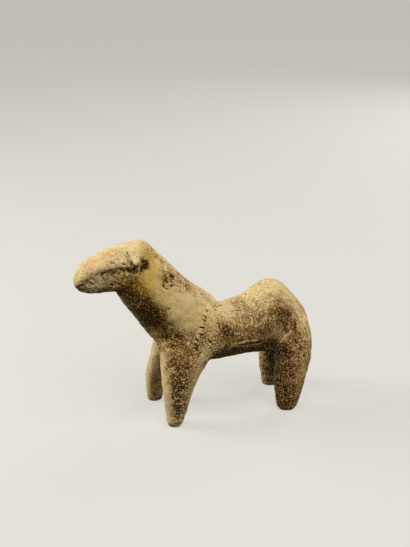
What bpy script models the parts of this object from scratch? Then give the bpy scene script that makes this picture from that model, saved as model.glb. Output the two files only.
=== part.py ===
"""A small ancient horse of fired clay, modelled by hand and standing on four stub legs.

The model follows the way such a figure is made. Rolls of clay for the trunk, neck, head, legs and
tail are pressed together and rubbed into one body. A mane strip and ears are added, hollows are
pressed in with finger and stick, and the feet are set flat on the board.

The horse looks along -X, its left side is at -Y, and it stands on Z = 0.
"""

import math
from typing import NamedTuple

import bmesh
import bpy
import numpy as np
from mathutils import Matrix, Vector, noise

# Driving dimension, in metres, from the nose to the back of the tail
LENGTH = 0.106

# A free form keeps its proportions, so every other size is in hundredths of the length.
SHARE = LENGTH / 100

# Trunk and neck
BARREL_HALF_WIDTH = 12.0
HAUNCH_HALF_WIDTH = 12.8
NECK_HALF_WIDTH = 9.6
NECK_LEAN_DEG = 49.5

# Head
BROW_HALF_WIDTH = 8.5
MUZZLE_HALF_WIDTH = 5.8
CHEEK_HALF_WIDTH = 7.4
EAR_AHEAD_OF_POLL = 2.4
EAR_ABOVE_POLL = 1.8
EAR_ROOT_SINK = 0.6
EAR_SIZE = (0.9, 2.2, 2.3)

# Legs, by how far their feet stand out from the middle
FRONT_FOOT_OUT = 12.6
HIND_FOOT_OUT = 12.4
BELOW_SOLE = -1.0

# Clay surface
VOXEL = 0.85
FINE_VOXEL = 0.45
TRUNK_RUBS = 40
LEG_RUBS = 10
HEAD_RUBS = 5
LAST_RUBS = 4
LUMP_SPACING = 9.0
LUMP_HEIGHT = 0.35
TRIANGLES = 8600
RING_POINTS = 36
RINGS_PER_SPAN = 5

CLAY_COLOUR = (0.47, 0.36, 0.20, 1.0)
CLAY_ROUGHNESS = 0.92


class Station(NamedTuple):
    """One section of a roll: its centre, how far its upright leans back, and its half sizes."""

    x: float
    y: float
    z: float
    lean: float
    half_width: float
    up: float
    down: float


class Mark(NamedTuple):
    """A place pressed into one side, along a path seen from that side. A raised one is negative."""

    side: int
    path: tuple
    radius: float
    depth: float


def level(x, z, half_width, up, down, lean=0.0):
    """A section on the middle plane, which is where the trunk, neck and head have theirs."""
    return Station(x, 0.0, z, lean, half_width, up, down)


def lying(side, height, x, half_length, out, half_width):
    """A level section of a leg at the given height."""
    return Station(x, side * out, height, 90.0, half_width, half_length, half_length)


def between(a, b, c, d, t):
    """The Catmull-Rom value a share t of the way from b to c."""
    slope = (c - a) * t
    bend = (2 * a - 5 * b + 4 * c - d) * t**2
    twist = (3 * b - a - 3 * c + d) * t**3
    return b + (slope + bend + twist) / 2


def smooth_stations(stations):
    """The stations with more of them in between, on smooth curves through the given ones."""
    ends = [stations[0], *stations, stations[-1]]
    found = []
    for i in range(len(stations) - 1):
        for step in range(RINGS_PER_SPAN):
            t = step / RINGS_PER_SPAN
            found.append(Station(*(between(*near, t) for near in zip(*ends[i : i + 4]))))
    found.append(stations[-1])
    return found


def ring_of(bm, station):
    """The vertices of one section, an oval with its own height above and below the centre."""
    lean = math.radians(station.lean)
    upright = Vector((math.sin(lean), 0.0, math.cos(lean)))
    centre = Vector((station.x, station.y, station.z))
    ring = []
    for i in range(RING_POINTS):
        angle = 2 * math.pi * i / RING_POINTS
        height = station.up if math.sin(angle) > 0 else station.down
        point = centre + upright * (height * math.sin(angle))
        point.y += station.half_width * math.cos(angle)
        ring.append(bm.verts.new(point * SHARE))
    return ring


def roll(name, stations):
    """A closed roll of clay through the stations."""
    bm = bmesh.new()
    rings = [ring_of(bm, station) for station in smooth_stations(stations)]
    for low, high in zip(rings, rings[1:]):
        for i in range(RING_POINTS):
            j = (i + 1) % RING_POINTS
            bm.faces.new((low[i], low[j], high[j], high[i]))
    bm.faces.new(reversed(rings[0]))
    bm.faces.new(rings[-1])
    bmesh.ops.recalc_face_normals(bm, faces=bm.faces)
    mesh = bpy.data.meshes.new(name)
    bm.to_mesh(mesh)
    bm.free()
    return mesh


def trunk():
    """The barrel, from inside the chest to the croup, which is its highest point, and the rump."""
    barrel, haunch = BARREL_HALF_WIDTH, HAUNCH_HALF_WIDTH
    return roll(
        "trunk",
        [
            level(-15.0, 32.0, 0.60 * barrel, 6.5, 5.5),
            level(-9.5, 33.0, 0.95 * barrel, 10.0, 9.5),
            level(-1.5, 33.5, 1.05 * barrel, 11.4, 11.3),
            level(7.0, 33.5, barrel, 11.4, 12.2),
            level(14.5, 33.8, barrel, 11.3, 11.6),
            level(21.0, 34.6, 1.03 * barrel, 12.8, 12.0),
            level(26.5, 35.0, 0.98 * haunch, 15.8, 12.8),
            level(31.5, 34.8, haunch, 18.4, 14.3),
            level(36.5, 33.8, 0.94 * haunch, 16.8, 14.3),
            level(41.0, 31.2, 0.82 * haunch, 13.2, 11.5),
            level(44.5, 28.6, 0.60 * haunch, 9.2, 8.0),
            level(46.5, 27.8, 0.32 * haunch, 4.5, 4.0),
        ],
    )


def neck():
    """The thick neck, which leans forward and widens into the chest and shoulders."""
    wide, lean = NECK_HALF_WIDTH, NECK_LEAN_DEG
    return roll(
        "neck",
        [
            level(4.0, 30.0, 0.70 * wide, 8.0, 8.0, lean),
            level(-2.0, 35.3, 1.08 * wide, 12.0, 13.2, lean),
            level(-7.0, 40.8, 1.18 * wide, 13.0, 14.6, lean),
            level(-12.0, 46.8, 1.13 * wide, 12.6, 14.0, lean),
            level(-17.4, 52.7, 1.04 * wide, 11.8, 13.0, lean),
            level(-21.9, 57.9, 0.97 * wide, 11.1, 12.3, lean),
            level(-25.3, 62.2, 0.92 * wide, 10.4, 11.2, lean),
            level(-28.8, 66.5, 0.60 * wide, 6.0, 6.5, lean),
        ],
    )


def poll():
    """The section of the brow at the poll, behind the ears."""
    return level(-24.0, 67.6, 0.92 * BROW_HALF_WIDTH, 6.7, 5.0)


def brow():
    """The upper head, a wedge from the poll to the nose that overhangs the cheeks."""
    wide, nose = BROW_HALF_WIDTH, MUZZLE_HALF_WIDTH
    return roll(
        "brow",
        [
            level(-18.0, 65.5, 0.40 * wide, 3.0, 3.0),
            level(-20.6, 66.9, 0.70 * wide, 6.0, 4.0),
            poll(),
            level(-29.5, 67.6, 1.02 * wide, 5.9, 3.6),
            level(-35.0, 67.3, 0.97 * wide, 5.0, 1.8),
            level(-41.0, 66.1, 0.82 * wide, 4.1, 1.2),
            level(-45.6, 63.4, nose, 4.4, 1.4),
            level(-48.5, 60.9, 0.78 * nose, 3.7, 2.2),
            level(-49.9, 60.0, 0.40 * nose, 1.8, 1.4),
        ],
    )


def cheeks():
    """The lower head: a full jowl, and in front of it a pinched muzzle with a level chin line."""
    wide = CHEEK_HALF_WIDTH
    return roll(
        "cheeks",
        [
            level(-23.0, 62.5, 1.10 * wide, 8.0, 6.5),
            level(-29.0, 63.2, 1.17 * wide, 7.6, 7.9),
            level(-33.2, 63.2, 1.13 * wide, 7.2, 8.2),
            level(-35.6, 63.4, 0.99 * wide, 6.8, 8.2),
            level(-40.0, 63.6, 0.86 * wide, 6.2, 8.3),
            level(-44.5, 61.8, 0.72 * wide, 4.8, 6.4),
            level(-48.4, 59.2, 0.38 * wide, 1.5, 2.7),
        ],
    )


def near_front_leg():
    """The left front leg: a level front edge, and a broad top that tapers to the foot behind."""
    side, out = -1, FRONT_FOOT_OUT
    return roll(
        "near_front_leg",
        [
            lying(side, BELOW_SOLE, -13.8, 1.9, out, 2.0),
            lying(side, 1.4, -13.8, 3.5, out, 3.5),
            lying(side, 9.0, -12.6, 5.2, out - 0.6, 4.3),
            lying(side, 16.0, -11.4, 6.8, out - 1.5, 4.9),
            lying(side, 22.0, -9.6, 8.8, out - 2.8, 5.6),
            lying(side, 28.0, -7.0, 11.2, out - 4.6, 6.2),
            lying(side, 35.0, -5.6, 11.2, out - 6.6, 6.0),
        ],
    )


def far_front_leg():
    """The right front leg, thinner than the left one and bowed forward."""
    side, out = 1, FRONT_FOOT_OUT
    return roll(
        "far_front_leg",
        [
            lying(side, BELOW_SOLE, -14.8, 2.3, out, 2.2),
            lying(side, 1.4, -15.0, 3.7, out, 3.5),
            lying(side, 7.5, -15.0, 4.1, out - 0.4, 4.0),
            lying(side, 14.0, -14.2, 4.7, out - 1.2, 4.4),
            lying(side, 20.0, -12.2, 5.6, out - 2.4, 5.0),
            lying(side, 26.0, -9.4, 7.2, out - 4.2, 5.8),
            lying(side, 35.0, -7.0, 9.4, out - 6.6, 6.0),
        ],
    )


def near_hind_leg():
    """The left hind leg, a thick roll with an upright front, pressed on over the haunch."""
    side, out = -1, HIND_FOOT_OUT
    return roll(
        "near_hind_leg",
        [
            lying(side, BELOW_SOLE, 34.6, 2.3, out, 2.0),
            lying(side, 1.6, 34.5, 4.6, out, 3.9),
            lying(side, 8.0, 35.2, 6.0, out - 0.3, 4.7),
            lying(side, 16.0, 36.3, 7.1, out - 0.8, 5.4),
            lying(side, 24.0, 37.5, 7.9, out - 2.0, 6.0),
            lying(side, 31.0, 38.2, 8.0, out - 4.2, 6.2),
            lying(side, 38.0, 37.6, 7.0, out - 6.4, 5.0),
        ],
    )


def far_hind_leg():
    """The right hind leg, thinner than the left one, with a square-cut foot."""
    side, out = 1, HIND_FOOT_OUT
    return roll(
        "far_hind_leg",
        [
            lying(side, BELOW_SOLE, 36.9, 3.8, out, 3.4),
            lying(side, 1.4, 36.9, 4.1, out, 3.8),
            lying(side, 8.0, 36.7, 4.8, out - 0.3, 4.4),
            lying(side, 16.0, 36.8, 5.6, out - 0.8, 5.0),
            lying(side, 24.0, 37.2, 7.0, out - 2.0, 5.8),
            lying(side, 31.0, 37.8, 7.6, out - 4.2, 6.2),
            lying(side, 38.0, 37.2, 6.6, out - 6.4, 5.0),
        ],
    )


def tail():
    """The tail, a ridge pressed down the middle of the rump."""
    return roll(
        "tail",
        [
            level(33.0, 46.0, 2.0, 2.0, 2.0, 28.0),
            level(38.4, 44.0, 2.8, 2.4, 3.0, 44.0),
            level(42.3, 39.0, 3.4, 2.9, 3.6, 62.0),
            level(44.9, 33.0, 3.7, 3.0, 4.4, 76.0),
            level(46.4, 27.5, 3.5, 2.9, 5.2, 82.0),
            level(46.6, 23.0, 3.0, 2.9, 5.4, 92.0),
            level(45.2, 20.4, 2.0, 2.2, 3.6, 104.0),
        ],
    )


def mane():
    """The mane, a low strip from the forehead over the poll and down to a step at the withers."""
    return roll(
        "mane",
        [
            level(-33.6, 70.6, 1.8, 1.5, 2.0),
            level(-28.5, 71.4, 3.0, 2.4, 3.0, 4.0),
            level(-24.6, 71.9, 3.3, 2.8, 3.3, 8.0),
            level(-22.6, 71.2, 3.4, 3.0, 3.4, 34.0),
            level(-19.6, 68.6, 3.4, 2.8, 3.4, 46.0),
            level(-13.0, 61.8, 3.2, 2.6, 3.2, NECK_LEAN_DEG),
            level(-6.0, 54.6, 3.3, 2.7, 3.4, 46.0),
            level(0.6, 49.2, 3.6, 2.9, 3.6, 36.0),
            level(5.4, 45.8, 3.4, 2.3, 3.0, 42.0),
            level(7.6, 43.6, 1.8, 1.0, 1.8, 46.0),
        ],
    )


def ear(side):
    """An ear, a thin lug that stands out sideways at the back of the brow."""
    mesh = bpy.data.meshes.new("ear")
    bm = bmesh.new()
    bmesh.ops.create_uvsphere(bm, u_segments=20, v_segments=12, radius=SHARE)
    x = poll().x - EAR_AHEAD_OF_POLL
    y = side * (BROW_HALF_WIDTH - EAR_ROOT_SINK)
    z = poll().z + EAR_ABOVE_POLL
    place = Matrix.Translation(Vector((x, y, z)) * SHARE)
    bm.transform(place @ Matrix.Diagonal((*EAR_SIZE, 1.0)))
    bm.to_mesh(mesh)
    bm.free()
    return mesh


def joined(name, meshes):
    """One object with all the meshes in it, still as separate shells."""
    bm = bmesh.new()
    for mesh in meshes:
        bm.from_mesh(mesh)
        bpy.data.meshes.remove(mesh)
    mesh = bpy.data.meshes.new(name)
    bm.to_mesh(mesh)
    bm.free()
    obj = bpy.data.objects.new(name, mesh)
    bpy.context.scene.collection.objects.link(obj)
    return obj


def finished_mesh(obj):
    """The object's mesh with its modifiers applied. The object is removed."""
    graph = bpy.context.evaluated_depsgraph_get()
    mesh = bpy.data.meshes.new_from_object(obj.evaluated_get(graph))
    bpy.data.objects.remove(obj)
    return mesh


def kneaded(name, meshes, voxel, rubs):
    """The meshes fused into one closed skin, with the seams between them rubbed smooth."""
    obj = joined(name, meshes)
    fuse = obj.modifiers.new("fuse", "REMESH")
    fuse.mode = "VOXEL"
    fuse.voxel_size = voxel * SHARE
    rub = obj.modifiers.new("rub", "SMOOTH")
    rub.iterations = rubs
    return finished_mesh(obj)


def both_sides(path, radius, depth):
    """The same mark on the left and on the right."""
    return [Mark(side, path, radius, depth) for side in (-1, 1)]


def head_marks():
    """The hollows of the head: under the brow, round the eye, behind the ear, and the mouth."""
    marks = both_sides(((-45.6, 61.4), (-42.5, 63.2), (-39.5, 64.6), (-36.0, 65.0)), 1.3, 0.6)
    marks += both_sides(((-35.6, 65.0), (-35.0, 60.0)), 1.6, 0.5)
    marks += both_sides(((-33.0, 65.2), (-27.0, 65.6)), 1.2, 0.3)
    marks += both_sides(((-29.0, 69.6), (-28.2, 68.6)), 2.3, 0.8)
    marks += both_sides(((-24.2, 68.8), (-25.0, 66.8)), 2.0, 2.2)
    marks += both_sides(((-48.2, 59.0), (-47.2, 56.0)), 0.9, 0.9)
    return marks


def body_marks():
    """The hollows beside the tail, the edge along the flank, and the flat outer faces of the legs."""
    marks = both_sides(((35.5, 39.0), (38.0, 33.5)), 6.0, 1.6)
    marks += both_sides(((12.0, 29.4), (23.0, 29.0)), 2.2, 0.6)
    marks += both_sides(((-12.0, 17.0), (-10.5, 24.0)), 4.5, 0.8)
    marks += both_sides(((-27.0, 55.0), (-15.5, 38.0)), 8.0, 0.8)
    marks += both_sides(((27.0, 26.5), (29.0, 30.0), (33.5, 33.0)), 1.8, 0.8)
    return marks


def path_distance(points, path):
    """How far each point lies from the path, which is a line of straight runs."""
    nearest = np.full(len(points), np.inf)
    for start, end in zip(path, path[1:]):
        start, run = np.array(start), np.subtract(end, start)
        along = np.clip((points - start) @ run / (run @ run), 0.0, 1.0)
        gap = np.linalg.norm(points - start - along[:, None] * run, axis=1)
        nearest = np.minimum(nearest, gap)
    return nearest


def values(items, name, width):
    """One vector of each item, as rows."""
    found = np.empty(len(items) * width, dtype=np.float32)
    items.foreach_get(name, found)
    return found.reshape(-1, width).astype(float)


def press(mesh, marks):
    """Press the marks into the surface, each only where the clay faces its side."""
    points = values(mesh.vertices, "co", 3) / SHARE
    facing = values(mesh.vertex_normals, "vector", 3)[:, 1]
    for mark in marks:
        closeness = 1 - (path_distance(points[:, [0, 2]], mark.path) / mark.radius) ** 2
        strength = np.clip(closeness, 0.0, None) ** 2
        strength *= np.clip(mark.side * facing * 2.5, 0.0, 1.0) * (mark.side * points[:, 1] > 0)
        points[:, 1] -= mark.side * mark.depth * strength
    mesh.vertices.foreach_set("co", (points * SHARE).ravel())
    mesh.update()


def make_uneven(mesh):
    """Give the surface the low lumps that fingers leave."""
    points = values(mesh.vertices, "co", 3) / SHARE
    outward = values(mesh.vertex_normals, "vector", 3)
    lumps = np.array([noise.noise(point) for point in points / LUMP_SPACING])
    points += outward * (lumps * LUMP_HEIGHT)[:, None]
    mesh.vertices.foreach_set("co", (points * SHARE).ravel())
    mesh.update()


def thinned(mesh, triangles):
    """The mesh with about that many triangles."""
    mesh.calc_loop_triangles()
    obj = bpy.data.objects.new(mesh.name, mesh)
    bpy.context.scene.collection.objects.link(obj)
    thin = obj.modifiers.new("thin", "DECIMATE")
    thin.ratio = triangles / len(mesh.loop_triangles)
    return finished_mesh(obj)


def set_down(mesh):
    """Cut the soles flat at Z = 0 and put the origin under the middle of the figure."""
    bm = bmesh.new()
    bm.from_mesh(mesh)
    everything = [*bm.verts, *bm.edges, *bm.faces]
    bmesh.ops.bisect_plane(bm, geom=everything, plane_no=(0.0, 0.0, 1.0), clear_inner=True)
    rims = [edge for edge in bm.edges if edge.is_boundary]
    bmesh.ops.holes_fill(bm, edges=rims)
    bmesh.ops.triangulate(bm, faces=bm.faces)
    xs = [vertex.co.x for vertex in bm.verts]
    ys = [vertex.co.y for vertex in bm.verts]
    middle = Vector((min(xs) + max(xs), min(ys) + max(ys), 0.0)) / 2
    bmesh.ops.translate(bm, verts=bm.verts, vec=-middle)
    bm.to_mesh(mesh)
    bm.free()


def fired_clay():
    """The pale buff clay."""
    material = bpy.data.materials.new("fired_clay")
    material.use_nodes = True
    shader = material.node_tree.nodes["Principled BSDF"]
    shader.inputs["Base Color"].default_value = CLAY_COLOUR
    shader.inputs["Roughness"].default_value = CLAY_ROUGHNESS
    shader.inputs["Metallic"].default_value = 0.0
    return material


def horse_mesh():
    """The whole figure as one closed skin."""
    torso = kneaded("torso", [trunk(), neck()], VOXEL, TRUNK_RUBS)
    legs = [near_front_leg(), far_front_leg(), near_hind_leg(), far_hind_leg()]
    body = kneaded("body", [torso, *legs], VOXEL, LEG_RUBS)
    whole = kneaded("whole", [body, brow(), cheeks()], FINE_VOXEL, HEAD_RUBS)
    mesh = kneaded("horse", [whole, tail(), mane(), ear(-1), ear(1)], FINE_VOXEL, LAST_RUBS)
    press(mesh, [*head_marks(), *body_marks()])
    make_uneven(mesh)
    mesh = thinned(mesh, TRIANGLES)
    set_down(mesh)
    return mesh


def main():
    for obj in list(bpy.data.objects):
        bpy.data.objects.remove(obj)
    mesh = horse_mesh()
    mesh.materials.append(fired_clay())
    mesh.shade_smooth()
    mesh.set_sharp_from_angle(angle=math.radians(50))
    collection = bpy.data.collections.new("clay_horse")
    bpy.context.scene.collection.children.link(collection)
    collection.objects.link(bpy.data.objects.new("horse", mesh))


if __name__ == "__main__":
    main()
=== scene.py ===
"""The looks of a small ancient clay horse, built over its solid.

The solid gives the form. This file gives it a fine skin with the pressed strokes, pits, folds and wear of
hand-modelled clay, colours it with sand, soil, stains and painted shade and light, and sets it on a plain
pale floor.
The horse looks along -X, its left side is at -Y, and it stands on Z = 0.
"""

import math
from typing import NamedTuple

import bpy
import numpy as np
from bpy.props import FloatProperty, FloatVectorProperty, IntProperty, PointerProperty
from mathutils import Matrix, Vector


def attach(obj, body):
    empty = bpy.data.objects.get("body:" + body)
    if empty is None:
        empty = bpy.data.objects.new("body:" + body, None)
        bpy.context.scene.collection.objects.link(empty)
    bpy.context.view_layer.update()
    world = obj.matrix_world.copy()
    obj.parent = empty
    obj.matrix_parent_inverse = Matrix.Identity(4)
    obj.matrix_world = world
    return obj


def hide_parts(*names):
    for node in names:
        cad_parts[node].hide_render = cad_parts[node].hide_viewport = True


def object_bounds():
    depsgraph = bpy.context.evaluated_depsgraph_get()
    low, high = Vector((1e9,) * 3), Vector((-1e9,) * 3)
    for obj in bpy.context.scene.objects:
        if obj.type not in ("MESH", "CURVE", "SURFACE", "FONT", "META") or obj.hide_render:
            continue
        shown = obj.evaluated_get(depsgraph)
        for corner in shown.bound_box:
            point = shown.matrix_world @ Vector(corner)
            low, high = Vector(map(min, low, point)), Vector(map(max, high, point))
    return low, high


bl_info = {
    "name": "Ancient Clay Horse",
    "version": (1, 0, 0),
    "blender": (4, 5, 0),
    "location": "View3D > Sidebar > Clay Horse",
    "description": "A small hand-modelled horse of fired sandy clay, with its floor and light",
    "category": "Object",
}

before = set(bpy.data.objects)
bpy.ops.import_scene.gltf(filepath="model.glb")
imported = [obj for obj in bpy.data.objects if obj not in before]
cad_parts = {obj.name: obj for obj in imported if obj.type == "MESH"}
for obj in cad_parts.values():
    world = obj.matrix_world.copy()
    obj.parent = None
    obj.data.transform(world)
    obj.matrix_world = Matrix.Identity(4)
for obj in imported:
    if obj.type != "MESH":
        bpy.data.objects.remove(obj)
CAD_BOX = [list(corner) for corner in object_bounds()]

MM = 0.001
LEFT = -1
RIGHT = 1
BOTH = (LEFT, RIGHT)
# The columns of a point that a path seen from the side uses
X_AND_Z = [0, 2]


class Mark(NamedTuple):
    """A groove along a path in x and z, in mm, or a ridge where the depth is negative."""

    side: int
    path: tuple
    radius: float
    depth: float


class Patch(NamedTuple):
    """A soft patch of colour on one side, that fades out from a path in x and z, in mm."""

    side: int
    path: tuple
    reach: float
    strength: float


# Stick strokes down the left shoulder. Each is the x and z of its middle, its length, slant and depth, in
# mm and degrees.
SHOULDER_STROKES = (
    (0.6, 50.0, 1.7, -46, 0.45),
    (1.3, 48.2, 1.6, -45, 0.60),
    (-0.2, 46.1, 1.9, -36, 0.75),
    (-0.5, 44.6, 1.7, -30, 0.70),
    (-0.8, 43.2, 1.0, -38, 0.22),
    (-1.5, 41.9, 1.4, -20, 0.75),
    (-2.4, 39.2, 1.3, -15, 0.50),
    (-4.6, 37.5, 1.2, -55, 0.80),
    (-6.1, 34.1, 0.8, -45, 0.50),
    (-4.7, 33.4, 1.1, -45, 0.50),
)
STROKE_RADIUS = 0.62
# The clay that a stroke pushed up beside it. Its distance and radius are shares of the stroke's radius.
LIP_HEIGHT = 0.18
LIP_DISTANCE = 1.35
LIP_RADIUS = 0.9

# A crumb's reach from its spot, its radius from and to, and the depths that it can have, in mm
CRUMB_REACH = 0.6
CRUMB_RADIUS = (0.45, 0.85)
CRUMB_DEPTHS = (-0.28, 0.35, 0.60)

# The radius and depth of a pit where a grain has fallen out, from and to, in mm
PIT_SEED = 17
PIT_RADIUS = (0.50, 0.95)
PIT_DEPTH = (0.18, 0.42)

RING_MIDDLE = (-15.3, 62.0)


def stroke_marks():
    """The shoulder strokes, with the clay that each pushed up above and behind it."""
    marks = []
    for x, z, length, slant, depth in SHOULDER_STROKES:
        angle = math.radians(slant)
        run = Vector((math.cos(angle), math.sin(angle))) * length / 2
        aside = Vector((-run.y, run.x)).normalized() * STROKE_RADIUS * LIP_DISTANCE
        ends = ((x - run.x, z - run.y), (x + run.x, z + run.y))
        lip = tuple((end[0] + aside.x, end[1] + aside.y) for end in ends)
        marks.append(Mark(LEFT, ends, STROKE_RADIUS, depth))
        marks.append(Mark(LEFT, lip, STROKE_RADIUS * LIP_RADIUS, -LIP_HEIGHT))
    return marks


def arc(x, z, radius, start, end, points=12):
    """Points along part of a circle, from one angle to another in degrees."""
    angles = [math.radians(start + (end - start) * i / (points - 1)) for i in range(points)]
    return tuple((x + radius * math.cos(a), z + radius * math.sin(a)) for a in angles)


def crumbs(side, path, spread, count, seed):
    """Small pits and raised crumbs scattered along a path, as broken sandy clay has them."""
    chance = np.random.default_rng(seed)
    marks = []
    for _ in range(count):
        run = chance.integers(0, len(path) - 1)
        spot = Vector(path[run]).lerp(Vector(path[run + 1]), chance.uniform())
        spot += Vector(chance.normal(0.0, spread, 2))
        end = spot + Vector(chance.uniform(-CRUMB_REACH, CRUMB_REACH, 2))
        depth = chance.choice(CRUMB_DEPTHS)
        marks.append(Mark(side, (tuple(spot), tuple(end)), chance.uniform(*CRUMB_RADIUS), depth))
    return marks


def neck_marks():
    """The stamped ring high on the left of the neck, and the crease under the mane."""
    return [
        Mark(LEFT, arc(*RING_MIDDLE, 2.1, 100, 165), 0.62, 0.50),
        Mark(LEFT, arc(*RING_MIDDLE, 2.2, 195, 260), 0.62, 0.46),
        Mark(LEFT, arc(*RING_MIDDLE, 2.1, 300, 400), 0.55, 0.40),
        Mark(LEFT, arc(*RING_MIDDLE, 3.2, 120, 260), 0.60, -0.16),
        # Pits in the ring
        Mark(LEFT, ((-13.4, 64.6), (-12.4, 63.4)), 0.90, 0.80),
        Mark(LEFT, ((-14.3, 61.0), (-12.9, 60.7)), 0.60, 0.30),
        Mark(LEFT, ((-15.6, 64.2), (-14.6, 63.4)), 0.55, 0.30),
        # The crease under the mane
        Mark(LEFT, ((-11.8, 62.5), (-8.7, 60.7), (-7.2, 58.6), (-5.5, 57.2)), 0.90, 0.14),
        Mark(LEFT, ((-5.5, 57.2), (-3.4, 55.2), (-1.0, 53.3), (2.4, 50.3)), 1.20, 0.12),
    ]


def head_marks():
    """The brow edge, eye, ear and mouth. The left side also has a cheek fold, pits and crumbs."""
    brow_edge = ((-47.4, 65.2), (-45.4, 66.5), (-43.8, 67.3), (-42.6, 68.1), (-40.6, 69.4))
    marks = []
    for side in BOTH:
        marks += [
            # The brow edge and the eye
            Mark(side, brow_edge, 1.80, -0.34),
            Mark(side, ((-31.6, 74.4), (-30.6, 72.6)), 2.20, 0.40),
            # The clay raised above the ear, the ear's hollow, and the lug before it
            Mark(side, ((-25.8, 73.8), (-24.6, 73.0)), 1.60, -0.70),
            Mark(side, ((-24.2, 71.4), (-23.8, 69.6), (-25.8, 68.8)), 1.50, 2.30),
            Mark(side, ((-30.0, 73.8), (-28.4, 73.4)), 2.00, -0.80),
            Mark(side, ((-28.6, 73.0), (-27.6, 69.6)), 1.50, -0.90),
            # The mouth
            Mark(side, ((-50.1, 63.8), (-49.5, 60.4)), 0.80, 0.40),
        ]
    marks += [
        # The cheek fold
        Mark(LEFT, ((-36.1, 69.0), (-35.9, 65.8), (-35.2, 62.0)), 1.30, 0.22),
        # Pits along the brow
        Mark(LEFT, ((-38.3, 73.2), (-37.6, 73.0)), 0.80, 0.55),
        Mark(LEFT, ((-34.4, 72.6), (-33.6, 72.2)), 0.85, 0.65),
        Mark(LEFT, ((-34.8, 70.2), (-33.9, 69.8)), 0.90, 0.60),
        Mark(LEFT, ((-32.2, 69.3), (-30.4, 68.8)), 1.00, 0.70),
        Mark(LEFT, ((-29.2, 68.2), (-28.0, 68.6)), 0.80, 0.50),
        # A grain in the ear's hollow
        Mark(LEFT, ((-24.2, 70.6), (-24.0, 70.4)), 0.50, -0.60),
    ]
    marks += crumbs(LEFT, ((-50.0, 62.0), (-46.4, 65.6)), spread=0.9, count=14, seed=3)
    brow = ((-44.0, 67.8), (-40.0, 69.4), (-33.0, 69.4), (-28.0, 68.6))
    marks += crumbs(LEFT, brow, spread=0.6, count=22, seed=4)
    marks += crumbs(LEFT, ((-37.0, 66.5), (-35.5, 61.5)), spread=1.2, count=8, seed=5)
    return marks


def body_marks():
    """The folds, ledges and smears left where the rolls of clay were pressed together."""
    marks = [
        # The raised seam behind the shoulder, and a smear in front of it
        Mark(LEFT, ((-0.1, 36.6), (0.5, 35.3), (1.8, 33.8), (2.5, 32.1)), 0.60, -0.30),
        Mark(LEFT, ((0.9, 36.9), (1.5, 35.6), (2.8, 34.1), (3.5, 32.3)), 0.60, 0.18),
        Mark(LEFT, ((-4.1, 38.9), (-3.2, 38.0)), 0.55, -0.22),
        # Two pits and a curved scratch on the flank
        Mark(LEFT, ((7.9, 41.9), (8.0, 41.8)), 0.75, 0.50),
        Mark(LEFT, ((9.1, 41.1), (9.3, 41.0)), 0.80, 0.50),
        Mark(LEFT, arc(9.4, 39.0, 1.2, 150, 330), 0.50, 0.20),
        # The ledge low on the flank, the groove under it and the roll of clay below both
        Mark(LEFT, ((14.8, 33.4), (18.4, 33.6), (22.9, 33.4)), 0.90, -0.50),
        Mark(LEFT, ((15.0, 32.2), (18.4, 32.3), (24.0, 32.0)), 0.90, 0.30),
        Mark(LEFT, ((13.0, 31.8), (18.4, 31.0), (24.0, 30.8)), 2.40, -0.45),
        # Clay smeared into the fold before the haunch, and a faint line on the flank
        Mark(LEFT, ((31.5, 32.3), (35.2, 34.9), (37.8, 37.4), (39.4, 40.5)), 2.60, -0.60),
        Mark(LEFT, ((17.9, 38.8), (22.7, 38.4)), 0.80, -0.14),
        # The fold where the leg meets the chest
        Mark(LEFT, ((-18.2, 34.4), (-16.6, 36.0), (-14.5, 36.4)), 0.80, -0.30),
        Mark(LEFT, ((-17.6, 33.2), (-16.0, 34.8), (-13.9, 35.2)), 1.20, 0.12),
        # Low hollows on the rump and the haunch
        Mark(LEFT, ((35.8, 53.5), (34.1, 51.3), (33.5, 48.8), (33.5, 45.7)), 2.20, 0.08),
        Mark(LEFT, ((30.5, 44.4), (35.5, 40.7), (40.5, 38.1)), 2.60, 0.08),
        # Folds at the top of the hind leg
        Mark(LEFT, ((32.9, 31.3), (35.1, 33.9), (37.6, 35.2)), 0.75, -0.34),
        Mark(LEFT, ((32.2, 27.2), (33.5, 28.7), (34.9, 29.2)), 0.75, -0.30),
        Mark(LEFT, ((31.4, 28.3), (32.7, 29.9), (34.3, 30.5)), 0.90, 0.12),
        # The crease beside the tail
        Mark(LEFT, ((44.0, 45.7), (44.6, 41.2), (48.2, 31.6)), 0.85, 0.34),
    ]
    marks += crumbs(LEFT, ((-6.5, 35.0), (-4.0, 31.0)), spread=1.2, count=16, seed=6)
    marks += crumbs(LEFT, ((5.5, 41.5), (10.5, 37.0)), spread=1.3, count=14, seed=7)
    marks += crumbs(LEFT, ((1.5, 36.5), (3.0, 31.5)), spread=1.0, count=10, seed=8)
    marks += crumbs(LEFT, ((33.0, 31.0), (40.0, 27.0)), spread=2.6, count=22, seed=9)
    marks += crumbs(LEFT, ((-12.0, 24.0), (-13.0, 4.0)), spread=2.4, count=26, seed=10)
    marks += crumbs(LEFT, ((37.0, 20.0), (35.5, 4.0)), spread=3.0, count=26, seed=11)
    marks += crumbs(LEFT, ((-15.6, 63.6), (-13.6, 60.6)), spread=1.6, count=12, seed=12)
    # The right side has the same folds, plainer
    marks += [
        Mark(RIGHT, ((12.0, 32.4), (17.0, 31.9), (22.0, 32.2)), 1.30, 0.24),
        Mark(RIGHT, ((-17.4, 33.8), (-15.4, 35.2), (-12.9, 35.4)), 1.00, 0.26),
        Mark(RIGHT, ((31.0, 30.5), (33.6, 33.2), (36.8, 34.6)), 1.10, 0.30),
        Mark(RIGHT, ((-6.2, 57.6), (-1.4, 53.4), (2.2, 50.6)), 1.10, 0.24),
        Mark(RIGHT, ((43.8, 45.6), (45.4, 39.8), (48.0, 31.8)), 1.00, 0.30),
        Mark(RIGHT, ((31.0, 43.6), (38.0, 38.8)), 2.80, 0.40),
    ]
    return marks


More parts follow.
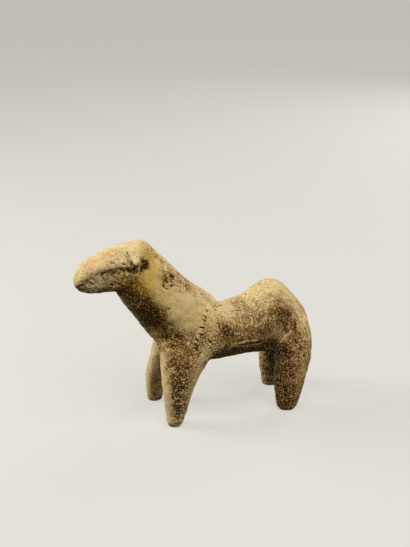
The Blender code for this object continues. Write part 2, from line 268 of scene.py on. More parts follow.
# Where small marks crowd, as boxes from one corner to the other, in mm: the strokes, the ring, the left of
# the head, and the pits on the flank
FINE_PLACES = (
    ((-9.0, -30.0, 30.5), (4.5, 0.0, 52.5)),
    ((-20.0, -30.0, 56.5), (-10.0, 0.0, 67.5)),
    ((-53.0, -30.0, 58.0), (-22.0, 0.0, 76.5)),
    ((6.0, -30.0, 35.5), (13.0, 0.0, 44.0)),
)

# Dark soil that stays where hands and cloth don't rub, and painted shade: most of all on the throat, in the
# ear's hollow, under the brow and under the belly
SOIL_AND_SHADE_PATCHES = (
    # Painted shade down the throat
    Patch(LEFT, ((-29.0, 57.0), (-26.0, 53.0), (-23.0, 49.0)), 4.6, 0.62),
    Patch(LEFT, ((-22.0, 48.0), (-19.0, 44.0)), 4.0, 0.30),
    # Painted shade in the ear's hollow
    Patch(LEFT, ((-25.8, 69.0), (-24.0, 70.8)), 1.2, 0.90),
    # Painted shadow under the brow
    Patch(LEFT, ((-45.0, 67.0), (-39.0, 68.4), (-34.5, 68.0)), 1.8, 0.22),
    Patch(LEFT, ((-35.5, 72.6), (-31.5, 71.8)), 1.6, 0.08),
    Patch(LEFT, ((-15.0, 65.0), (-7.5, 59.0)), 3.4, 0.22),
    Patch(LEFT, ((-11.0, 38.0), (-4.0, 38.5)), 4.5, 0.30),
    Patch(LEFT, ((7.0, 40.0), (10.0, 38.0)), 2.5, 0.12),
    Patch(LEFT, ((18.0, 45.0), (27.0, 43.0)), 5.0, 0.14),
    Patch(LEFT, ((8.0, 38.0), (26.0, 37.0)), 4.2, 0.38),
    # Painted shade under the belly
    Patch(LEFT, ((0.0, 26.5), (17.0, 28.5), (33.5, 29.5)), 3.6, 0.46),
    Patch(LEFT, ((34.5, 44.0), (38.0, 39.0)), 5.0, 0.18),
    Patch(LEFT, ((31.0, 38.5), (38.5, 36.0)), 3.4, 0.12),
    Patch(LEFT, ((31.5, 45.0), (32.5, 42.0)), 2.2, 0.26),
    Patch(LEFT, ((33.0, 34.0), (42.0, 33.0)), 5.0, 0.20),
    Patch(LEFT, ((-16.0, 34.0), (-6.0, 31.0)), 4.0, 0.15),
    Patch(LEFT, ((-18.5, 64.5), (-17.0, 60.5)), 2.5, 0.20),
    Patch(LEFT, ((-13.4, 64.4), (-12.6, 63.6)), 0.9, 0.60),
    Patch(LEFT, ((-16.6, 63.4), (-14.2, 61.0)), 1.8, 0.10),
    # Painted shadow under the brow, on the cheek and in the crevice before the ear
    Patch(LEFT, ((-40.0, 66.5), (-33.5, 66.5)), 2.2, 0.22),
    Patch(LEFT, ((-34.0, 70.0), (-29.5, 69.6)), 1.4, 0.30),
    Patch(LEFT, ((19.5, 46.5), (23.0, 45.0)), 2.5, 0.16),
    Patch(LEFT, ((-6.5, 58.5), (-3.5, 55.0)), 2.0, 0.20),
    Patch(LEFT, ((-14.5, 29.0), (-14.0, 18.0), (-13.5, 8.0)), 3.2, 0.42),
    Patch(LEFT, ((32.5, 28.0), (33.5, 6.0)), 5.0, 0.32),
    # Painted shade down the right of the throat
    Patch(RIGHT, ((-29.0, 59.0), (-22.0, 49.0), (-16.0, 40.0)), 6.0, 0.50),
    Patch(RIGHT, ((33.0, 50.0), (37.0, 40.0)), 6.0, 0.35),
    Patch(RIGHT, ((2.0, 34.0), (16.0, 30.0), (30.0, 31.0)), 5.0, 0.40),
    Patch(RIGHT, ((-13.5, 30.0), (-14.0, 6.0)), 5.0, 0.30),
    Patch(RIGHT, ((37.5, 32.0), (37.0, 6.0)), 7.0, 0.30),
)

# Yellow ochre stain from the poll down the jaw
OCHRE_PATCHES = (
    Patch(LEFT, ((-21.5, 73.0), (-23.0, 67.0), (-26.0, 62.5), (-33.0, 63.0)), 5.5, 0.90),
    Patch(LEFT, ((-29.0, 59.0), (-22.0, 49.0), (-17.0, 40.0)), 6.0, 0.55),
    Patch(LEFT, ((-1.0, 46.0), (5.0, 38.0)), 6.0, 0.30),
    Patch(LEFT, ((-18.0, 58.0), (-8.0, 50.0)), 6.0, 0.35),
    Patch(RIGHT, ((-23.0, 70.0), (-26.0, 62.0)), 7.0, 0.65),
    Patch(RIGHT, ((10.0, 45.0), (20.0, 42.0)), 7.0, 0.30),
)

# Red-brown tint low on the legs, on the haunch and round the ring
RUST_PATCHES = (
    Patch(LEFT, ((38.0, 34.0), (35.5, 4.0)), 7.0, 0.40),
    Patch(LEFT, ((-8.0, 30.0), (-12.0, 22.0)), 6.0, 0.35),
    Patch(LEFT, ((-15.0, 62.0), (-14.0, 61.0)), 3.5, 0.25),
    Patch(LEFT, ((32.0, 50.0), (39.0, 40.0)), 5.0, 0.20),
    Patch(LEFT, ((8.0, 35.0), (28.0, 34.0)), 4.0, 0.35),
    Patch(LEFT, ((-48.0, 70.0), (-38.0, 75.0)), 3.0, 0.35),
    Patch(RIGHT, ((38.0, 30.0), (37.0, 4.0)), 7.0, 0.50),
    Patch(RIGHT, ((-14.0, 26.0), (-15.0, 4.0)), 6.0, 0.35),
    Patch(RIGHT, ((18.0, 44.0), (32.0, 46.0)), 6.0, 0.30),
)

# Clean pale clay behind the ear, and painted light: on the neck, on the ear's lug, down the front and back
# of the near front leg and down the back of the near hind leg
PALE_AND_LIT_PATCHES = (
    # Painted light on the neck
    Patch(LEFT, ((-17.0, 57.5), (-8.5, 49.0)), 6.0, 0.34),
    Patch(LEFT, ((0.0, 49.5), (-1.8, 43.5), (-4.5, 38.5)), 1.6, 0.26),
    Patch(LEFT, ((-22.5, 70.5), (-22.0, 64.0)), 3.4, 0.50),
    # Painted highlight on the ear's lug
    Patch(LEFT, ((-29.6, 74.0), (-28.0, 71.0)), 1.6, 0.16),
    Patch(LEFT, ((3.0, 48.0), (5.0, 41.0)), 4.0, 0.20),
    Patch(LEFT, ((10.0, 46.5), (12.5, 42.0)), 3.0, 0.16),
    Patch(LEFT, ((-47.0, 62.0), (-39.0, 64.5)), 3.0, 0.14),
    Patch(LEFT, ((32.5, 31.5), (35.0, 34.5), (38.0, 35.5)), 1.2, 0.25),
    Patch(LEFT, ((29.5, 36.0), (33.0, 34.0)), 2.2, 0.22),
    # Painted rim light down the back of the near front leg and of the near hind leg
    Patch(LEFT, ((-2.5, 28.0), (-5.5, 16.0), (-9.5, 4.0)), 3.0, 0.50),
    Patch(LEFT, ((44.5, 24.0), (43.0, 16.0), (40.5, 4.0)), 2.5, 0.12),
    # Painted light on the neck, and down the front of the near front leg
    Patch(LEFT, ((-9.0, 54.0), (-6.0, 47.0)), 4.5, 0.42),
    Patch(LEFT, ((-20.5, 41.5), (-21.0, 34.0), (-20.6, 24.0), (-18.6, 8.0)), 2.6, 0.30),
    Patch(LEFT, ((-46.0, 71.5), (-38.0, 75.5)), 2.5, 0.18),
    Patch(LEFT, ((42.5, 46.5), (44.0, 38.0)), 2.5, 0.18),
    # Painted light on the right of the neck
    Patch(RIGHT, ((-18.0, 60.0), (-8.0, 50.0)), 7.0, 0.45),
    Patch(RIGHT, ((0.0, 47.0), (4.0, 42.0)), 5.0, 0.30),
)


# How far the skin has to face a side, of 1, for a mark on that side to be whole
MARK_FACING = 0.4
# A patch is gone at the first of these and whole at the second: how far the skin faces the patch's side,
# and how far it lies towards that side from the middle of the horse, in mm
PATCH_FACING = (-0.2, 0.3)
PATCH_ACROSS = (-3.0, 3.0)

# The legs, for the paint, begin at the first of these heights and are whole at the second, in mm
LEG_HEIGHTS = (32.0, 20.0)
# How many rounds of smoothing tell a pit, and how many tell a hollow of the form
PIT_ROUNDS = 5
HOLLOW_ROUNDS = 70

# How dirty and how shaded a place is, from 0 for rubbed clay to 1 for caked soil, with painted shade and
# painted light counted in. Each kind of place adds its own share.
DIRT_ALL_OVER = 0.37
DIRT_LEGS = 0.22
DIRT_INSIDE_FRONT_LEGS = -0.14
DIRT_INSIDE_HIND_LEGS = 0.10
# Painted shade on the undersides, darker the more they face down
SHADE_UNDER = 0.60
DIRT_ON_TOP = -0.16
# Painted light down the fronts of the front legs
LIGHT_ON_LEG_FRONTS = -0.80
# A pit adds this much, as soil and painted shade, for each mm that it is deeper than the start. The grain
# and the broad hollows add for each mm of depth, and take off for each mm of height, up to their limits in
# mm; in the broad hollows this is painted shade, and on the broad ridges painted light.
SOIL_AND_SHADE_IN_PITS = 3.6
PIT_START = 0.05
DIRT_IN_GRAIN = 0.8
GRAIN_LIMIT = 0.1
SHADE_IN_HOLLOWS = 0.16
HOLLOW_LIMIT = 1.0
# A place counts as underneath, on top or at the front once it faces there by more than this
UNDER_FACING = 0.15
TOP_FACING = 0.20
FRONT_FACING = 0.30

# How sandy the colour is, and how much of it comes with dirt past a start
SANDY_ALL_OVER = 0.38
SANDY_LEGS = 0.24
SANDY_IN_DIRT = 0.36
SANDY_DIRT_START = 0.30
# The rust that the legs have all over
RUST_LEGS = 0.12

# The sand's relief falls from this strength at the soles by 1 in so many mm of height. It is never over 1 or
# under the least.
SAND_AT_SOLES = 1.15
SAND_FALL = 60.0
SAND_LEAST = 0.35

# Points within this gap are one. A sole is found by its height and by how far it faces down, and is drawn
# down by so much.
MERGE_GAP = 0.002 * MM
SOLE_HEIGHT = 0.1 * MM
SOLE_FACING = 0.95
SOLE_DRAW = 2.0 * MM
# An edge sharper than this, in degrees, stays sharp
SHARP_EDGE = 70.0

# The patterns in the clay's colour, and the height of its grain, in mm
TONE_WIDTH = 13.0
GRAIN_WIDTH = 0.65
GRAIN_HEIGHT = 0.50
# The colour sockets of a Mix node share their names with others, so they go by their place
MIX_FIRST = 6
MIX_SECOND = 7
MIX_RESULT = 2

# The paper, in metres: its radius, the height of its wall and the radius of the curve between them
PAPER_RADIUS = 2.6
PAPER_WALL = 2.0
PAPER_CURVE = 0.5
# The lamps point at the middle of the horse, and the right one is weaker than the left
LAMPS_AIM = (0.0, 0.0, 0.04)
RIGHT_SHARE = 0.75
ROOM_COLOUR = "E8E6E2"
ROOM_LIGHT = 0.02

# The camera's turn from the left side and its tilt, in degrees, then its aim and distance, in mm
VIEW_TURN = -18.0
VIEW_TILT = 19.7
VIEW_AIM = (3.18, 0.0, 61.65)
VIEW_DISTANCE = 447.5


def linear(colour):
    """An sRGB hex colour as linear red, green, blue and alpha."""
    found = []
    # The sRGB curve is straight near black and a power above
    for place in (0, 2, 4):
        share = int(colour[place : place + 2], 16) / 255
        found.append(share / 12.92 if share <= 0.04045 else ((share + 0.055) / 1.055) ** 2.4)
    return (*found, 1.0)


def colour_property(name, description, colour):
    """A colour that the user can change."""
    return FloatVectorProperty(
        name=name,
        description=description,
        default=linear(colour),
        min=0.0,
        max=1.0,
        size=4,
        subtype="COLOR",
    )


def length_property(name, description, millimetres):
    """A length that the user can change."""
    return FloatProperty(
        name=name,
        description=description,
        default=millimetres * MM,
        min=0.0,
        precision=5,
        unit="LENGTH",
        subtype="DISTANCE",
    )


def power_property(name, description, watts):
    """A lamp's power that the user can change."""
    return FloatProperty(name=name, description=description, default=watts, min=0.0, unit="POWER")


class ClaySkinSettings(bpy.types.PropertyGroup):
    """Sizes of the relief on the clay."""

    skin_detail: length_property("Skin detail", "Spacing of the points of the skin", 0.50)
    rubbing: IntProperty(name="Rubbing", description="How often the skin is rubbed smooth", default=8, min=0)
    finger_size: length_property("Finger lumps", "Width of the low lumps left by fingers", 7.0)
    finger_height: length_property("Finger lump height", "Height of the low lumps", 0.50)
    wear_size: length_property("Wear", "Width of the worn and chipped places", 3.0)
    wear_height: length_property("Wear height", "Height of the wear", 0.90)
    sand_size: length_property("Sand", "Width of the sand grains that show in the skin", 1.2)
    sand_height: length_property("Sand height", "How far the sand stands out", 0.22)
    pits: IntProperty(name="Pits", description="How many grains have fallen out", default=150, min=0)


class ClayColourSettings(bpy.types.PropertyGroup):
    """Colours of the clay and of what clings to it. The palest and darkest also give the painted light and
    shade.
    """

    clay: colour_property("Clay", "Buff clay as fired", "CDAE74")
    # Also the colour of the painted light
    rubbed_and_lit: colour_property("Rubbed clay", "Pale clay on rubbed tops and edges", "F4DBA2")
    ochre: colour_property("Ochre stain", "Yellow stain on the poll and jaw", "EFDA8E")
    rust: colour_property("Rust tint", "Red-brown tint on the legs", "E0B48C")
    earth: colour_property("Earth", "Brown earth rubbed into the skin", "93733F")
    # Caked earth and soil are also the colours of the painted shade on the throat, under the belly and in
    # hollows
    caked_and_shaded: colour_property("Caked earth", "Darker earth caked on the legs and belly", "61471F")
    soil_and_shade: colour_property("Soil", "Dark soil in hollows and pits", "2E200A")


class StageSettings(bpy.types.PropertyGroup):
    """The floor and the light."""

    floor: colour_property("Floor", "Matt pale paper", "8E8C87")
    top_power: power_property("Top light", "Soft box over the horse", 2.5)
    side_power: power_property("Side lights", "Soft boxes at each end, a little behind the horse", 3.3)
    fill_power: power_property("Front light", "Soft box by the camera", 2.1)
    paper_glow: FloatProperty(
        name="Paper glow", description="How much light the paper gives off", default=1.85, min=0.0
    )


def only(obj):
    """Select this object alone, so that an operator acts on nothing else."""
    bpy.ops.object.select_all(action="DESELECT")
    obj.select_set(True)
    bpy.context.view_layer.objects.active = obj


def shape_with(obj, kind, **settings):
    """Put one modifier on the object and apply it."""
    modifier = obj.modifiers.new(kind.lower(), kind)
    for name, value in settings.items():
        setattr(modifier, name, value)
    bpy.ops.object.modifier_apply(modifier=modifier.name)


def rows(items, name, width=3):
    """One value of each item, as rows."""
    found = np.empty(len(items) * width, dtype=np.float32)
    items.foreach_get(name, found)
    return found.reshape(-1, width).astype(float)


def surface(mesh):
    """The points of the mesh, in mm, and the way that the skin faces at each."""
    return rows(mesh.vertices, "co") / MM, rows(mesh.vertex_normals, "vector")


def push_in(mesh, points, normals, push):
    """Push each point into the skin by its own distance, in mm."""
    moved = points - normals * push[:, None]
    mesh.vertices.foreach_set("co", (moved * MM).ravel())
    mesh.update()


def fade(values, start, end):
    """How far each value has come from the start to the end, from 0 to 1."""
    return np.clip((values - start) / (end - start), 0.0, 1.0)


def dent(distance, radius):
    """How deep a round dent is at each distance, from 1 in its middle to 0 at its edge."""
    return np.clip(1 - (distance / radius) ** 2, 0.0, None) ** 2


def path_distance(points, path):
    """How far each point lies from a path of straight runs."""
    nearest = np.full(len(points), np.inf)
    for start, end in zip(path, path[1:]):
        start = np.array(start)
        run = np.array(end) - start
        along = np.clip((points - start) @ run / (run @ run), 0.0, 1.0)
        gap = np.linalg.norm(points - start - along[:, None] * run, axis=1)
        nearest = np.minimum(nearest, gap)
    return nearest


def on_side(side, points, normals):
    """How fully each point faces that side, from 0 to 1."""
    return fade(side * normals[:, 1], 0.0, MARK_FACING) * (side * points[:, 1] > 0)


def press_marks(mesh, marks):
    """Press the marks into the skin along its own direction."""
    points, normals = surface(mesh)
    push = np.zeros(len(points))
    for mark in marks:
        gap = path_distance(points[:, X_AND_Z], mark.path)
        push += mark.depth * dent(gap, mark.radius) * on_side(mark.side, points, normals)
    push_in(mesh, points, normals, push)


def press_pits(mesh, count):
    """Press small pits at scattered points, where grains have fallen out."""
    chance = np.random.default_rng(PIT_SEED)
    points, normals = surface(mesh)
    push = np.zeros(len(points))
    for centre in points[chance.integers(0, len(points), count)]:
        radius = chance.uniform(*PIT_RADIUS)
        gap = np.linalg.norm(points - centre, axis=1)
        push += chance.uniform(*PIT_DEPTH) * dent(gap, radius)
    push_in(mesh, points, normals, push)


def smoothed(values, edges, times):
    """The values, each turned into the mean of its neighbours that many times."""
    count = len(values)
    ends = np.concatenate((edges[:, 0], edges[:, 1]))
    others = np.concatenate((edges[:, 1], edges[:, 0]))
    degree = np.bincount(ends, minlength=count)
    for _ in range(times):
        columns = [np.bincount(ends, weights=column[others], minlength=count) for column in values.T]
        values = np.stack(columns, axis=1) / degree[:, None]
    return values


def hollowness(points, normals, edges, times):
    """How far each point lies under the smoothed skin, in mm. A ridge is negative."""
    return ((smoothed(points, edges, times) - points) * normals).sum(axis=1)


def patched(patches, points, normals):
    """The sum of the patches at each point."""
    total = np.zeros(len(points))
    for patch in patches:
        gap = path_distance(points[:, X_AND_Z], patch.path)
        facing = fade(patch.side * normals[:, 1], *PATCH_FACING)
        across = fade(patch.side * points[:, 1], *PATCH_ACROSS)
        total += patch.strength * np.exp(-((gap / patch.reach) ** 2)) * facing * across
    return total


def paint(mesh, name, values):
    """Keep a value of 0 to 1 at each point, for the material to read."""
    layer = mesh.attributes.new(name, "FLOAT", "POINT")
    layer.data.foreach_set("value", np.clip(values, 0.0, 1.0).astype(np.float32))


def paint_surface(mesh):
    """Work out where soil stays, where the clay is rubbed, where it is stained, and where painted shade and
    light go.
    """
    points, normals = surface(mesh)
    edges = np.empty(len(mesh.edges) * 2, dtype=np.int32)
    mesh.edges.foreach_get("vertices", edges)
    edges = edges.reshape(-1, 2)
    fine = hollowness(points, normals, edges, PIT_ROUNDS)
    broad = hollowness(points, normals, edges, HOLLOW_ROUNDS)

    forehand = points[:, 0] < 0
    legs = fade(points[:, 2], *LEG_HEIGHTS)
    inner = np.clip(-np.sign(points[:, 1]) * normals[:, 1], 0.0, 1.0) * legs
    # Painted light on the fronts of the front legs, where they face forward
    lit_fronts = np.clip(-normals[:, 0] - FRONT_FACING, 0.0, 1.0) * legs * forehand
    # Painted shade on faces that point down. Faces that point up are made paler.
    shaded_under = np.clip(-normals[:, 2] - UNDER_FACING, 0.0, 1.0)
    on_top = np.clip(normals[:, 2] - TOP_FACING, 0.0, 1.0)

    # Soil and painted shade in pits and narrow creases, the grain, and painted shade in broad hollows
    dirt_and_shade = DIRT_ALL_OVER + SOIL_AND_SHADE_IN_PITS * np.clip(fine - PIT_START, 0.0, None)
    dirt_and_shade += DIRT_IN_GRAIN * np.clip(fine, -GRAIN_LIMIT, GRAIN_LIMIT)
    dirt_and_shade += SHADE_IN_HOLLOWS * np.clip(broad, -HOLLOW_LIMIT, HOLLOW_LIMIT)
    dirt_and_shade += DIRT_LEGS * legs + np.where(forehand, DIRT_INSIDE_FRONT_LEGS, DIRT_INSIDE_HIND_LEGS) * inner
    dirt_and_shade += SHADE_UNDER * shaded_under + DIRT_ON_TOP * on_top + LIGHT_ON_LEG_FRONTS * lit_fronts
    # The soil patches add dirt and painted shade, and the pale patches take dirt away and add painted light
    dirt_and_shade += patched(SOIL_AND_SHADE_PATCHES, points, normals) - patched(PALE_AND_LIT_PATCHES, points, normals)
    caked_and_shaded = np.clip(dirt_and_shade - SANDY_DIRT_START, 0.0, 1.0 - SANDY_DIRT_START)

    paint(mesh, "dirt_and_shade", dirt_and_shade)
    paint(mesh, "sandy", SANDY_ALL_OVER + SANDY_IN_DIRT * caked_and_shaded + SANDY_LEGS * legs)
    paint(mesh, "ochre", patched(OCHRE_PATCHES, points, normals))
    paint(mesh, "rust", patched(RUST_PATCHES, points, normals) + RUST_LEGS * legs)


def weigh_sand(obj):
    """Give the points a vertex group, so that the sand stands out most on the legs and belly."""
    height = rows(obj.data.vertices, "co")[:, 2] / MM
    weights = np.round(np.clip(SAND_AT_SOLES - height / SAND_FALL, SAND_LEAST, 1.0), 1)
    group = obj.vertex_groups.new(name="sand")
    for weight in np.unique(weights):
        group.add(np.flatnonzero(weights == weight).tolist(), float(weight), "REPLACE")
    return group.name


def roughen(obj, name, size, height, layers, **limits):
    """Raise and sink the skin by a cloud texture with features of that size."""
    texture = bpy.data.textures.new(name, "CLOUDS")
    texture.noise_scale = size
    texture.noise_depth = layers
    texture.noise_basis = "IMPROVED_PERLIN"
    shape_with(obj, "DISPLACE", texture=texture, texture_coords="LOCAL", strength=height, **limits)


def keep_in_box(mesh):
    """Keep every point inside the solid's box."""
    points = rows(mesh.vertices, "co")
    points = np.clip(points, CAD_BOX[0], CAD_BOX[1])
    mesh.vertices.foreach_set("co", points.ravel())
    mesh.update()


def add_node(tree, kind, links=(), settings=(), **values):
    """Add a shader node, with its links, its own settings and the values of its sockets."""
    node = tree.nodes.new(kind)
    for name, value in dict(settings).items():
        setattr(node, name, value)
    for name, value in values.items():
        node.inputs[name.replace("_", " ")].default_value = value
    for socket, source in dict(links).items():
        tree.links.new(source, node.inputs[socket])
    return node


class CLAYHORSE_OT_clay_skin(bpy.types.Operator):
    """Model the fine skin of the horse from its solid"""

    bl_idname = "clayhorse.clay_skin"
    bl_label = "Clay Skin"

    def execute(self, context):
        sizes = context.scene.clay_skin
        skin = bpy.data.objects.new("clay_skin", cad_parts["horse"].data.copy())
        context.scene.collection.objects.link(skin)
        only(skin)
        self.open_soles(skin)
        shape_with(skin, "REMESH", mode="VOXEL", voxel_size=sizes.skin_detail)
        shape_with(skin, "SMOOTH", factor=0.5, iterations=sizes.rubbing)
        self.refine(skin)
        press_marks(skin.data, [*stroke_marks(), *neck_marks(), *head_marks(), *body_marks()])
        sandiest = weigh_sand(skin)
        roughen(skin, "fingers", sizes.finger_size, sizes.finger_height, 1)
        roughen(skin, "wear", sizes.wear_size, sizes.wear_height, 2)
        roughen(skin, "sand", sizes.sand_size, sizes.sand_height, 1, vertex_group=sandiest)
        press_pits(skin.data, sizes.pits)
        self.cut_soles(skin)
        keep_in_box(skin.data)
        paint_surface(skin.data)
        only(skin)
        bpy.ops.object.shade_smooth_by_angle(angle=math.radians(SHARP_EDGE))
        skin.data.materials.clear()
        skin.data.materials.append(sandy_clay(context.scene.clay_colours))
        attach(skin, "root")
        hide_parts("horse")
        return {"FINISHED"}

    def open_soles(self, skin):
        """Merge the loose triangles and draw the soles down, so that rubbing doesn't round them."""
        bpy.ops.object.mode_set(mode="EDIT")
        bpy.ops.mesh.select_mode(type="FACE")
        bpy.ops.mesh.select_all(action="SELECT")
        bpy.ops.mesh.remove_doubles(threshold=MERGE_GAP)
        bpy.ops.mesh.select_all(action="DESELECT")
        bpy.ops.object.mode_set(mode="OBJECT")
        for face in skin.data.polygons:
            face.select = face.normal.z < -SOLE_FACING and face.center.z < SOLE_HEIGHT
        bpy.ops.object.mode_set(mode="EDIT")
        bpy.ops.mesh.extrude_region_move(TRANSFORM_OT_translate={"value": (0, 0, -SOLE_DRAW)})
        bpy.ops.object.mode_set(mode="OBJECT")

    def refine(self, skin):
        """Halve the spacing of the points where small marks crowd."""
        bpy.ops.object.mode_set(mode="EDIT")
        bpy.ops.mesh.select_mode(type="FACE")
        bpy.ops.mesh.select_all(action="DESELECT")
        bpy.ops.object.mode_set(mode="OBJECT")
        centres = rows(skin.data.polygons, "center") / MM
        chosen = np.zeros(len(centres), dtype=bool)
        for low, high in FINE_PLACES:
            chosen |= ((centres > low) & (centres < high)).all(axis=1)
        skin.data.polygons.foreach_set("select", chosen)
        bpy.ops.object.mode_set(mode="EDIT")
        bpy.ops.mesh.subdivide(number_cuts=1)
        bpy.ops.object.mode_set(mode="OBJECT")

    def cut_soles(self, skin):
        """Cut the soles flat on the floor."""
        only(skin)
        bpy.ops.object.mode_set(mode="EDIT")
        bpy.ops.mesh.select_all(action="SELECT")
        bpy.ops.mesh.bisect(plane_co=(0, 0, 0), plane_no=(0, 0, 1), use_fill=True, clear_inner=True)
        bpy.ops.object.mode_set(mode="OBJECT")


def sandy_clay(colours):
    """Fired sandy clay, shaped by hand, worn and long buried.

    Matt buff clay gives a soft, chalky surface. Sand shows as fine speckle, soil and painted shade stay dark
    in pits, hollows and undersides, and tops, rubbed edges and the places given painted light are paler.
    """
    material = bpy.data.materials.new("fired_sandy_clay")
    material.use_nodes = True
    tree = material.node_tree
    shader = tree.nodes["Principled BSDF"]
    place = add_node(tree, "ShaderNodeTexCoord").outputs["Object"]

    # Tone drifts over a finger's width and down to under a mm
    drift = add_node(
        tree,
        "ShaderNodeTexNoise",
        {"Vector": place},
        Scale=1 / (TONE_WIDTH * MM),
        Detail=5.0,
        Roughness=0.78,
    )
    drifted = add_node(
        tree,
        "ShaderNodeMapRange",
        {"Value": drift.outputs["Fac"]},
        From_Min=0.3,
        From_Max=0.7,
        To_Min=-0.32,
        To_Max=0.32,
    )

    # Sand is drawn at 0.65 mm, about twice its real size, because single grains are too fine to show
    sand = add_node(
        tree,
        "ShaderNodeTexNoise",
        {"Vector": place},
        Scale=1 / (GRAIN_WIDTH * MM),
        Detail=1.5,
        Roughness=0.6,
    )
    sanded = add_node(
        tree,
        "ShaderNodeMapRange",
        {"Value": sand.outputs["Fac"]},
        From_Min=0.46,
        From_Max=0.72,
        To_Min=0.16,
        To_Max=-1.30,
    )

    # How dirty and how shaded each place is, from rubbed clay at 0 to caked soil at 1, with pale grains in
    # the dirt
    sandy = add_node(tree, "ShaderNodeAttribute", settings={"attribute_name": "sandy"})
    grains = add_node(
        tree,
        "ShaderNodeMath",
        {0: sanded.outputs["Result"], 1: sandy.outputs["Fac"], 2: drifted.outputs["Result"]},
        {"operation": "MULTIPLY_ADD"},
    )
    painted = add_node(tree, "ShaderNodeAttribute", settings={"attribute_name": "dirt_and_shade"})
    dirt_and_shade = add_node(tree, "ShaderNodeMath", {0: painted.outputs["Fac"], 1: grains.outputs["Value"]})
    ramp = add_node(tree, "ShaderNodeValToRGB", {"Fac": dirt_and_shade.outputs["Value"]})
    # The pale end of the ramp also gives the painted light, and its dark end the painted shade
    stops = ramp.color_ramp.elements
    stops[0].color = tuple(colours.rubbed_and_lit)
    stops[1].color = tuple(colours.soil_and_shade)
    for position, stop in ((0.28, colours.clay), (0.52, colours.earth), (0.80, colours.caked_and_shaded)):
        stops.new(position).color = tuple(stop)

    # Iron in the ground has stained the clay yellow and red-brown, so these colours are multiplied in
    colour = ramp.outputs["Color"]
    for name, stain in (("ochre", colours.ochre), ("rust", colours.rust)):
        share = add_node(tree, "ShaderNodeAttribute", settings={"attribute_name": name})
        mix = add_node(
            tree,
            "ShaderNodeMix",
            {"Factor": share.outputs["Fac"], MIX_FIRST: colour},
            {"data_type": "RGBA", "blend_type": "MULTIPLY"},
        )
        mix.inputs[MIX_SECOND].default_value = tuple(stain)
        colour = mix.outputs[MIX_RESULT]
    tree.links.new(colour, shader.inputs["Base Color"])

    # Rubbed clay is a little less rough than the soil
    rough = add_node(
        tree, "ShaderNodeMapRange", {"Value": dirt_and_shade.outputs["Value"]}, To_Min=0.84, To_Max=0.97
    )
    tree.links.new(rough.outputs["Result"], shader.inputs["Roughness"])
    shader.inputs["Specular IOR Level"].default_value = 0.12
    shader.inputs["Metallic"].default_value = 0.0

    # Grains stand out of the skin, most of all where it is sandy
    relief = add_node(
        tree,
        "ShaderNodeMath",
        {0: sand.outputs["Fac"], 1: sandy.outputs["Fac"]},
        {"operation": "MULTIPLY"},
    )
    bump = add_node(
        tree,
        "ShaderNodeBump",
        {"Height": relief.outputs["Value"]},
        Strength=1.0,
        Distance=GRAIN_HEIGHT * MM,
    )
    tree.links.new(bump.outputs["Normal"], shader.inputs["Normal"])
    return material


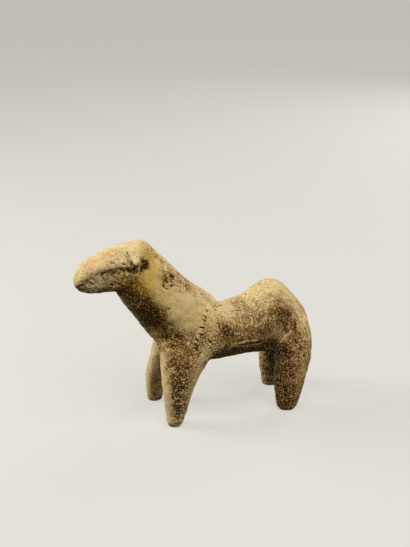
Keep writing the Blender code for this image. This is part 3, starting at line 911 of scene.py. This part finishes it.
class CLAYHORSE_OT_stage(bpy.types.Operator):
    """Set out the floor, the lights and the camera"""

    bl_idname = "clayhorse.stage"
    bl_label = "Floor, Lights and Camera"

    def execute(self, context):
        settings = context.scene.clay_stage
        self.lay_floor(settings)
        self.hang_lights(settings)
        self.place_camera(context)
        return {"FINISHED"}

    def lay_floor(self, settings):
        """Pale paper that curves up far off, all the way round."""
        bpy.ops.object.select_all(action="DESELECT")
        bpy.ops.mesh.primitive_circle_add(vertices=96, radius=PAPER_RADIUS, fill_type="NGON")
        floor = bpy.context.object
        floor.name = "floor"
        bpy.ops.object.mode_set(mode="EDIT")
        bpy.ops.mesh.select_mode(type="EDGE")
        bpy.ops.mesh.select_all(action="SELECT")
        bpy.ops.mesh.region_to_loop()
        bpy.ops.mesh.extrude_region_move(TRANSFORM_OT_translate={"value": (0, 0, PAPER_WALL)})
        bpy.ops.object.mode_set(mode="OBJECT")
        for edge in floor.data.edges:
            edge.select = all(floor.data.vertices[i].co.z < PAPER_WALL / 2 for i in edge.vertices)
        bpy.ops.object.mode_set(mode="EDIT")
        bpy.ops.mesh.bevel(offset=PAPER_CURVE, segments=16)
        bpy.ops.object.mode_set(mode="OBJECT")
        bpy.ops.object.shade_smooth()
        floor.data.materials.append(pale_paper(settings))
        # It throws no light back on the horse
        floor.visible_diffuse = False

    def hang_lights(self, settings):
        """A broad soft box above, one behind each end, and one in front."""
        # Each has its name, place, size and power
        boxes = (
            ("top", (0.00, -0.26, 0.60), (0.90, 0.45), settings.top_power),
            ("left", (-0.50, 0.26, 0.30), (0.35, 0.35), settings.side_power),
            ("right", (0.62, 0.43, 0.30), (0.42, 0.42), RIGHT_SHARE * settings.side_power),
            ("front", (0.22, -0.72, 0.42), (0.60, 0.60), settings.fill_power),
        )
        for name, place, size, power in boxes:
            bpy.ops.object.light_add(type="AREA", location=place)
            lamp = bpy.context.object
            lamp.name = name + "_light"
            lamp.data.shape = "RECTANGLE"
            lamp.data.size, lamp.data.size_y = size
            lamp.data.energy = power
            towards = Vector(LAMPS_AIM) - Vector(place)
            lamp.rotation_euler = towards.to_track_quat("-Z", "Y").to_euler()
        world = bpy.data.worlds.new("studio")
        bpy.context.scene.world = world
        world.use_nodes = True
        room = world.node_tree.nodes["Background"]
        room.inputs["Color"].default_value = linear(ROOM_COLOUR)
        room.inputs["Strength"].default_value = ROOM_LIGHT

    def place_camera(self, context):
        """The photograph's own view, from the left and a little in front and above."""
        turn = math.radians(VIEW_TURN)
        tilt = math.radians(VIEW_TILT)
        back = Vector((math.sin(turn) * math.cos(tilt), -math.cos(turn) * math.cos(tilt), math.sin(tilt)))
        bpy.ops.object.camera_add(location=Vector(VIEW_AIM) * MM + back * VIEW_DISTANCE * MM)
        camera = bpy.context.object
        camera.rotation_euler = (-back).to_track_quat("-Z", "Y").to_euler()
        camera.data.lens = 70.0
        camera.data.sensor_fit = "VERTICAL"
        camera.data.sensor_height = 36.0
        camera.data.clip_start = 0.01
        context.scene.camera = camera


def pale_paper(settings):
    """Matt pale paper, plain, so that nothing on it draws the eye. It glows, so that it is evenly pale."""
    material = bpy.data.materials.new("matt_pale_paper")
    material.use_nodes = True
    shader = material.node_tree.nodes["Principled BSDF"]
    shader.inputs["Base Color"].default_value = tuple(settings.floor)
    shader.inputs["Roughness"].default_value = 0.95
    shader.inputs["Specular IOR Level"].default_value = 0.1
    shader.inputs["Emission Color"].default_value = tuple(settings.floor)
    shader.inputs["Emission Strength"].default_value = settings.paper_glow
    return material


class CLAYHORSE_PT_panel(bpy.types.Panel):
    """The sizes and colours of the clay horse, and the steps that make it"""

    bl_idname = "CLAYHORSE_PT_panel"
    bl_label = "Clay Horse"
    bl_space_type = "VIEW_3D"
    bl_region_type = "UI"
    bl_category = "Clay Horse"

    def draw(self, context):
        for kind in GROUPS:
            group = getattr(context.scene, kind)
            box = self.layout.box()
            for name in group.bl_rna.properties.keys():
                if name not in ("rna_type", "name"):
                    box.prop(group, name)
        for step in STEPS:
            self.layout.operator(step.bl_idname)


GROUPS = {
    "clay_skin": ClaySkinSettings,
    "clay_colours": ClayColourSettings,
    "clay_stage": StageSettings,
}
STEPS = (CLAYHORSE_OT_clay_skin, CLAYHORSE_OT_stage)
CLASSES = (*GROUPS.values(), *STEPS, CLAYHORSE_PT_panel)


def register():
    for kind in CLASSES:
        bpy.utils.register_class(kind)
    for name, group in GROUPS.items():
        setattr(bpy.types.Scene, name, PointerProperty(type=group))


def unregister():
    for name in GROUPS:
        delattr(bpy.types.Scene, name)
    for kind in reversed(CLASSES):
        bpy.utils.unregister_class(kind)


def main():
    """Make the skin and the stage."""
    register()
    bpy.context.scene.view_settings.view_transform = "Standard"
    bpy.ops.clayhorse.clay_skin()
    bpy.ops.clayhorse.stage()


if __name__ == "__main__":
    main()
